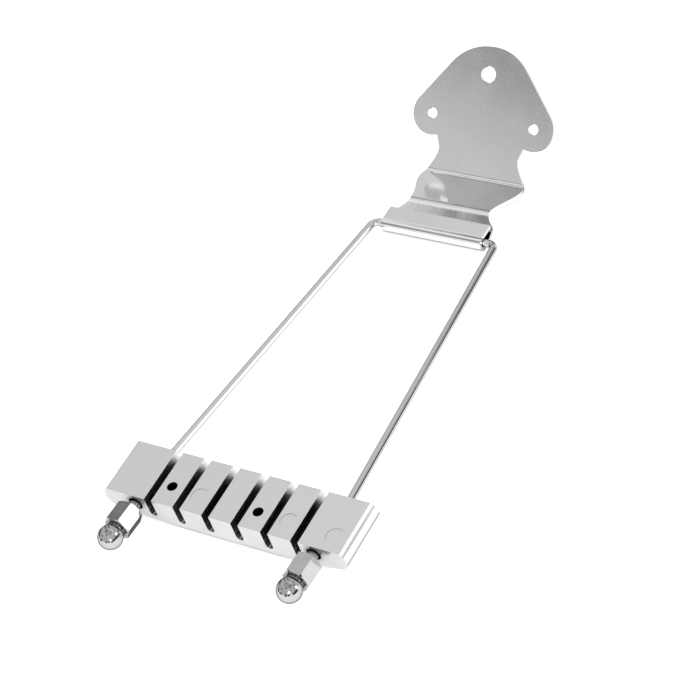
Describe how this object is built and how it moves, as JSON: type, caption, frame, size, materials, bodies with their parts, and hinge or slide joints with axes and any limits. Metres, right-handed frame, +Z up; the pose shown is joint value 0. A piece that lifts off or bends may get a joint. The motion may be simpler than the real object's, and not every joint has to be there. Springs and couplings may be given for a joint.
{
  "type": "archtop guitar trapeze tailpiece",
  "caption": "Chrome trapeze tailpiece for an archtop guitar: slotted string block, bent wire, ball-ended cap nuts and a hinged rim hanger.",
  "frame": {"origin": "centre of the box's bottom, on the floor", "axes": "+Z up, +Y from the cap nuts towards the hanger, +X along the string block"},
  "size_m": [0.086, 0.2098, 0.0346],
  "materials": {
    "chrome": "polished chrome plate",
    "nut_chrome": "polished chrome plate"
  },
  "bodies": {
    "wire": {"trapeze_wire": "chrome"},
    "hanger": {"hanger": "chrome"},
    "block": {"string_block": "chrome"},
    "nut_left": {"cap_nut_left": "nut_chrome"},
    "nut_right": {"cap_nut_right": "nut_chrome"}
  },
  "joints": [
    {"name": "hanger_hinge", "type": "hinge", "parent": "wire", "child": "hanger", "pos_m": [0, 0.047, 0.0027], "axis": [1, 0, 0], "range_deg": [-180, 150]},
    {"name": "block_slide", "type": "slide", "parent": "wire", "child": "block", "axis": [0, 0.9995, -0.0307], "range_m": [0, 0.001]},
    {"name": "nut_left_turn", "type": "hinge", "parent": "wire", "child": "nut_left", "pos_m": [-0.0317, -0.08693, 0.00681], "axis": [0, -0.9995, 0.0307], "continuous": true},
    {"name": "nut_right_turn", "type": "hinge", "parent": "wire", "child": "nut_right", "pos_m": [0.0317, -0.08693, 0.00681], "axis": [0, -0.9995, 0.0307], "continuous": true}
  ]
}
